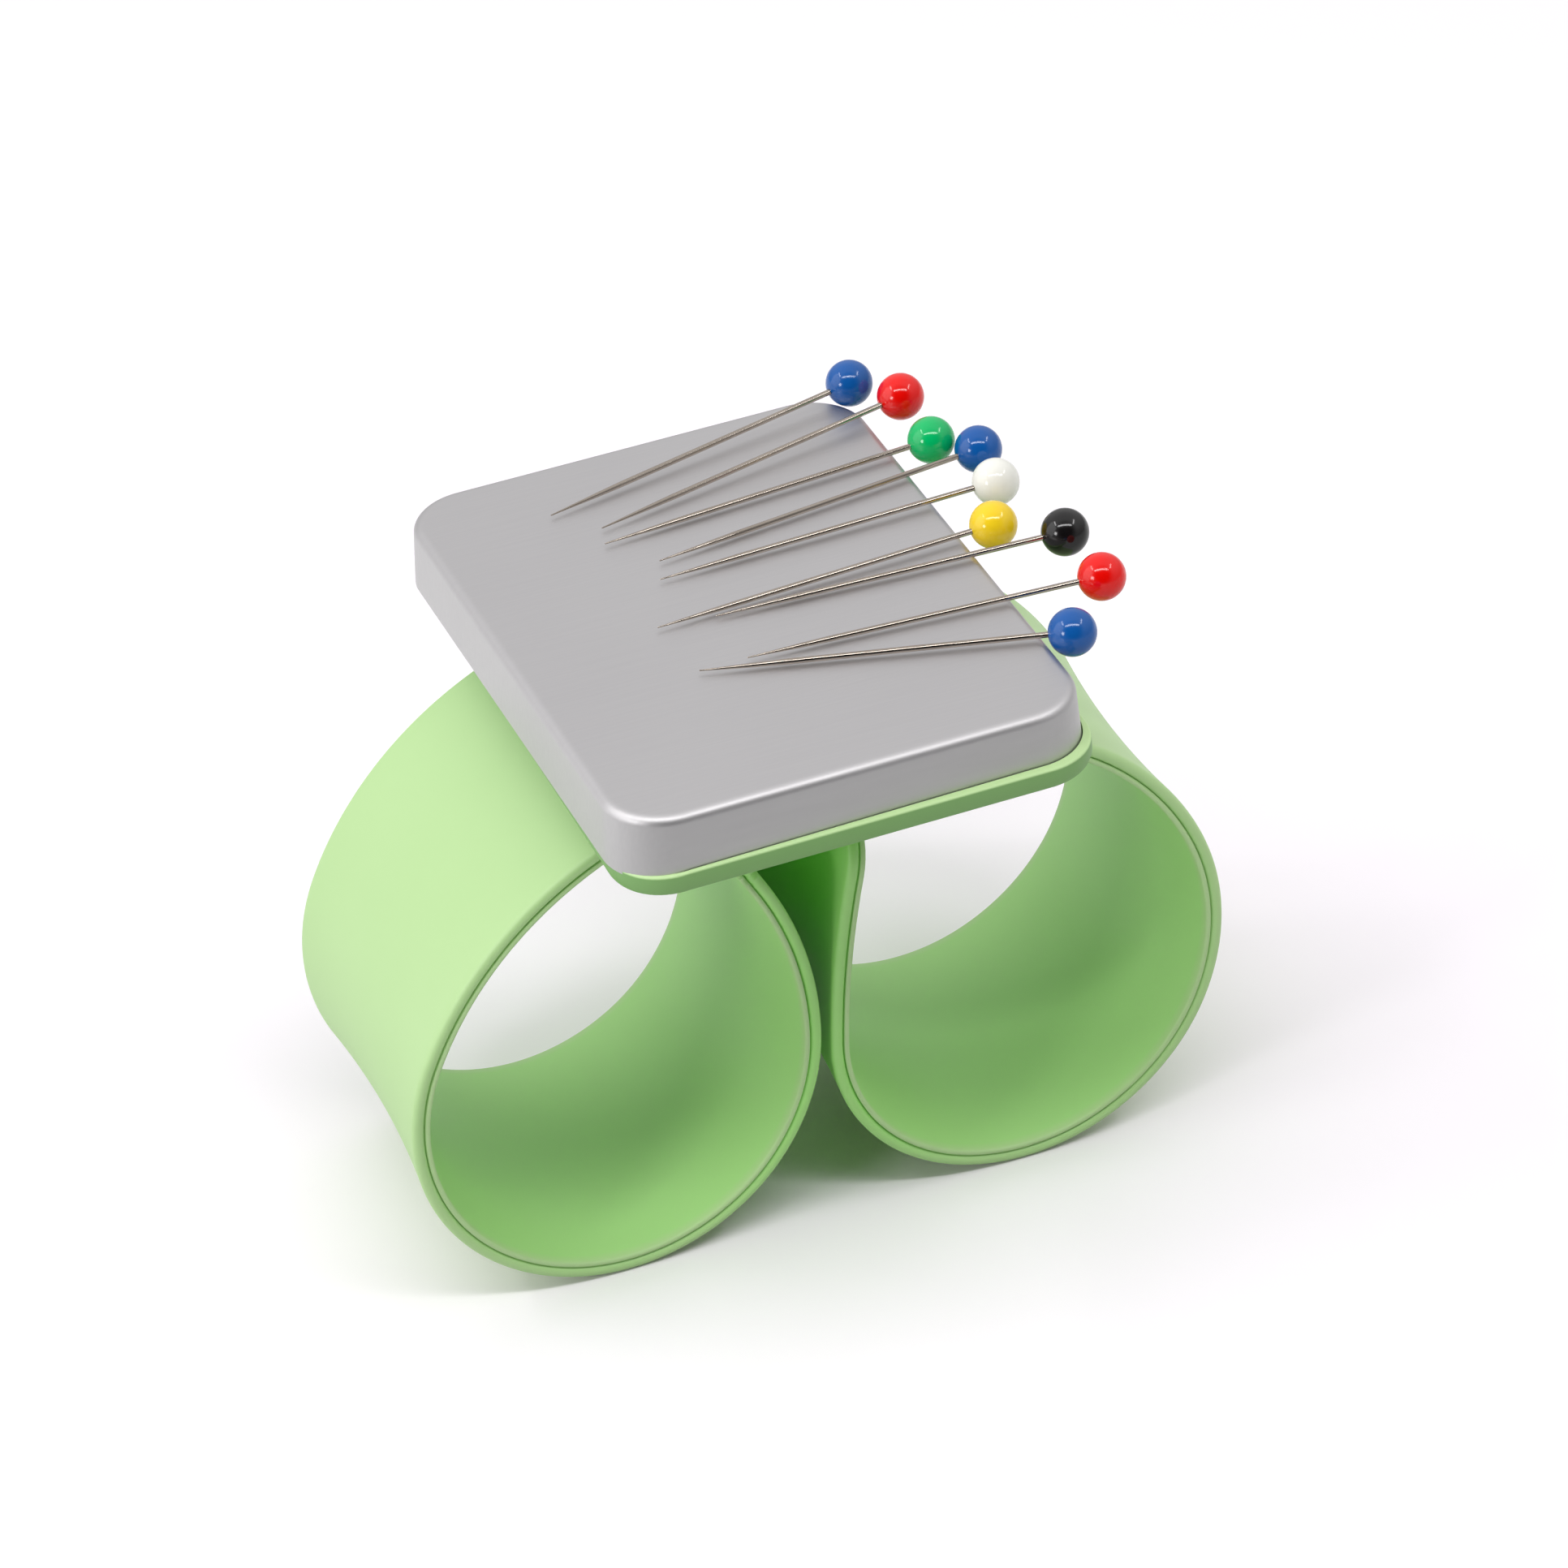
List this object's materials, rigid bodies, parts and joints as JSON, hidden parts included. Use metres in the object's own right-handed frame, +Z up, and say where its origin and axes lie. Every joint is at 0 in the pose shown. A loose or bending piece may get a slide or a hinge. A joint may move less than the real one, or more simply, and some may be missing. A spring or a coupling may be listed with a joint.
{
  "type": "magnetic pin wristband",
  "caption": "Steel-topped magnetic pad on a soft silicone slap band whose arms coil below it, holding ball-headed sewing pins.",
  "frame": {"origin": "on the floor, under the centre of the bounding box", "axes": "+X along the band, +Y across the band along the cover's long side, +Z up out of the steel cover"},
  "size_m": [0.0712, 0.0554, 0.0552],
  "materials": {
    "steel_cover": "brushed along the band's direction",
    "spring_steel": "bright rolled strip",
    "pin_steel": "bright nickel plate",
    "silicone": "soft satin, pale green",
    "ferrite": "dull dark grey ferrite",
    "foam": "closed cell foam",
    "tape": "double sided tape",
    "head_blue": "glossy",
    "head_red": "glossy",
    "head_green": "glossy",
    "head_white": "glossy",
    "head_yellow": "glossy",
    "head_black": "glossy"
  },
  "bodies": {
    "pad": {"steel_cover": "steel_cover", "cover_tape": "tape", "magnet_near": "ferrite", "magnet_far": "ferrite", "magnet_spacer": "foam", "foam_pad": "foam", "silicone_tray": "silicone", "bond_pad": "silicone", "centre_sleeve": "silicone", "centre_strip": "spring_steel"},
    "left_link_1": {"left_sleeve_1": "silicone", "left_strip_1": "spring_steel"},
    "left_link_2": {"left_sleeve_2": "silicone", "left_strip_2": "spring_steel"},
    "left_link_3": {"left_sleeve_3": "silicone", "left_strip_3": "spring_steel"},
    "left_link_4": {"left_sleeve_4": "silicone", "left_strip_4": "spring_steel"},
    "left_link_5": {"left_sleeve_5": "silicone", "left_strip_5": "spring_steel"},
    "left_link_6": {"left_sleeve_6": "silicone", "left_strip_6": "spring_steel"},
    "left_link_7": {"left_sleeve_7": "silicone", "left_strip_7": "spring_steel"},
    "right_link_1": {"right_sleeve_1": "silicone", "right_strip_1": "spring_steel"},
    "right_link_2": {"right_sleeve_2": "silicone", "right_strip_2": "spring_steel"},
    "right_link_3": {"right_sleeve_3": "silicone", "right_strip_3": "spring_steel"},
    "right_link_4": {"right_sleeve_4": "silicone", "right_strip_4": "spring_steel"},
    "right_link_5": {"right_sleeve_5": "silicone", "right_strip_5": "spring_steel"},
    "right_link_6": {"right_sleeve_6": "silicone", "right_strip_6": "spring_steel"},
    "right_link_7": {"right_sleeve_7": "silicone", "right_strip_7": "spring_steel"},
    "pin_1": {"pin_shaft_1": "pin_steel", "pin_head_1": "head_blue"},
    "pin_2": {"pin_shaft_2": "pin_steel", "pin_head_2": "head_red"},
    "pin_3": {"pin_shaft_3": "pin_steel", "pin_head_3": "head_green"},
    "pin_4": {"pin_shaft_4": "pin_steel", "pin_head_4": "head_blue"},
    "pin_5": {"pin_shaft_5": "pin_steel", "pin_head_5": "head_white"},
    "pin_6": {"pin_shaft_6": "pin_steel", "pin_head_6": "head_yellow"},
    "pin_7": {"pin_shaft_7": "pin_steel", "pin_head_7": "head_black"},
    "pin_8": {"pin_shaft_8": "pin_steel", "pin_head_8": "head_red"},
    "pin_9": {"pin_shaft_9": "pin_steel", "pin_head_9": "head_blue"}
  },
  "joints": [
    {"name": "left_bend_1", "type": "hinge", "parent": "pad", "child": "left_link_1", "pos_m": [-0.01995, 0, 0.04105], "axis": [0, 1, 0], "range_deg": [0, 47], "stiffness_Nm_per_rad": 0.05},
    {"name": "left_bend_2", "type": "hinge", "parent": "left_link_1", "child": "left_link_2", "pos_m": [-0.03404, 0, 0.02568], "axis": [0, 1, 0], "range_deg": [0, 40.2], "stiffness_Nm_per_rad": 0.05},
    {"name": "left_bend_3", "type": "hinge", "parent": "left_link_2", "child": "left_link_3", "pos_m": [-0.03454, 0, 0.01143], "axis": [0, 1, 0], "range_deg": [0, 44], "stiffness_Nm_per_rad": 0.05},
    {"name": "left_bend_4", "type": "hinge", "parent": "left_link_3", "child": "left_link_4", "pos_m": [-0.0258, 0, 0.00172], "axis": [0, 1, 0], "range_deg": [0, 16.8], "stiffness_Nm_per_rad": 0.05},
    {"name": "left_bend_5", "type": "hinge", "parent": "left_link_4", "child": "left_link_5", "pos_m": [-0.01421, 0, 0.00051], "axis": [0, 1, 0], "range_deg": [0, 4.1], "stiffness_Nm_per_rad": 0.05},
    {"name": "left_bend_6", "type": "hinge", "parent": "left_link_5", "child": "left_link_6", "pos_m": [-0.00456, 0, 0.00665], "axis": [0, 1, 0], "range_deg": [0, 4.1], "stiffness_Nm_per_rad": 0.05},
    {"name": "left_bend_7", "type": "hinge", "parent": "left_link_6", "child": "left_link_7", "pos_m": [-0.00011, 0, 0.01856], "axis": [0, 1, 0], "range_deg": [0, 4.1], "stiffness_Nm_per_rad": 0.05},
    {"name": "right_bend_1", "type": "hinge", "parent": "pad", "child": "right_link_1", "pos_m": [0.02262, 0, 0.04075], "axis": [0, -1, 0], "range_deg": [0, 48], "stiffness_Nm_per_rad": 0.05},
    {"name": "right_bend_2", "type": "hinge", "parent": "right_link_1", "child": "right_link_2", "pos_m": [0.03427, 0, 0.02759], "axis": [0, -1, 0], "range_deg": [0, 42.1], "stiffness_Nm_per_rad": 0.05},
    {"name": "right_bend_3", "type": "hinge", "parent": "right_link_2", "child": "right_link_3", "pos_m": [0.03399, 0, 0.01163], "axis": [0, -1, 0], "range_deg": [0, 43.5], "stiffness_Nm_per_rad": 0.05},
    {"name": "right_bend_4", "type": "hinge", "parent": "right_link_3", "child": "right_link_4", "pos_m": [0.02376, 0, 0.00139], "axis": [0, -1, 0], "range_deg": [0, 17.1], "stiffness_Nm_per_rad": 0.05},
    {"name": "right_bend_5", "type": "hinge", "parent": "right_link_4", "child": "right_link_5", "pos_m": [0.01178, 0, 0.00077], "axis": [0, -1, 0], "range_deg": [0, 4.1], "stiffness_Nm_per_rad": 0.05},
    {"name": "right_bend_6", "type": "hinge", "parent": "right_link_5", "child": "right_link_6", "pos_m": [0.00323, 0, 0.00709], "axis": [0, -1, 0], "range_deg": [0, 4.1], "stiffness_Nm_per_rad": 0.05},
    {"name": "right_bend_7", "type": "hinge", "parent": "right_link_6", "child": "right_link_7", "pos_m": [0.00053, 0, 0.01684], "axis": [0, -1, 0], "range_deg": [0, 2.7], "stiffness_Nm_per_rad": 0.05},
    {"name": "pin_lift_1", "type": "slide", "parent": "pad", "child": "pin_1", "axis": [0, 0, 1], "range_m": [0, 0.03]},
    {"name": "pin_lift_2", "type": "slide", "parent": "pad", "child": "pin_2", "axis": [0, 0, 1], "range_m": [0, 0.03]},
    {"name": "pin_lift_3", "type": "slide", "parent": "pad", "child": "pin_3", "axis": [0, 0, 1], "range_m": [0, 0.03]},
    {"name": "pin_lift_4", "type": "slide", "parent": "pad", "child": "pin_4", "axis": [0, 0, 1], "range_m": [0, 0.03]},
    {"name": "pin_lift_5", "type": "slide", "parent": "pad", "child": "pin_5", "axis": [0, 0, 1], "range_m": [0, 0.03]},
    {"name": "pin_lift_6", "type": "slide", "parent": "pad", "child": "pin_6", "axis": [0, 0, 1], "range_m": [0, 0.03]},
    {"name": "pin_lift_7", "type": "slide", "parent": "pad", "child": "pin_7", "axis": [0, 0, 1], "range_m": [0, 0.03]},
    {"name": "pin_lift_8", "type": "slide", "parent": "pad", "child": "pin_8", "axis": [0, 0, 1], "range_m": [0, 0.03]},
    {"name": "pin_lift_9", "type": "slide", "parent": "pad", "child": "pin_9", "axis": [0, 0, 1], "range_m": [0, 0.03]}
  ],
  "couplings": [
    {"joint": "left_bend_2", "follows": "left_bend_1", "ratio": 0.85},
    {"joint": "left_bend_3", "follows": "left_bend_1", "ratio": 0.93},
    {"joint": "left_bend_4", "follows": "left_bend_1", "ratio": 0.35},
    {"joint": "left_bend_5", "follows": "left_bend_1", "ratio": 0.08},
    {"joint": "left_bend_6", "follows": "left_bend_1", "ratio": 0.08},
    {"joint": "left_bend_7", "follows": "left_bend_1", "ratio": 0.08},
    {"joint": "right_bend_2", "follows": "right_bend_1", "ratio": 0.87},
    {"joint": "right_bend_3", "follows": "right_bend_1", "ratio": 0.9},
    {"joint": "right_bend_4", "follows": "right_bend_1", "ratio": 0.35},
    {"joint": "right_bend_5", "follows": "right_bend_1", "ratio": 0.08},
    {"joint": "right_bend_6", "follows": "right_bend_1", "ratio": 0.08},
    {"joint": "right_bend_7", "follows": "right_bend_1", "ratio": 0.05}
  ]
}
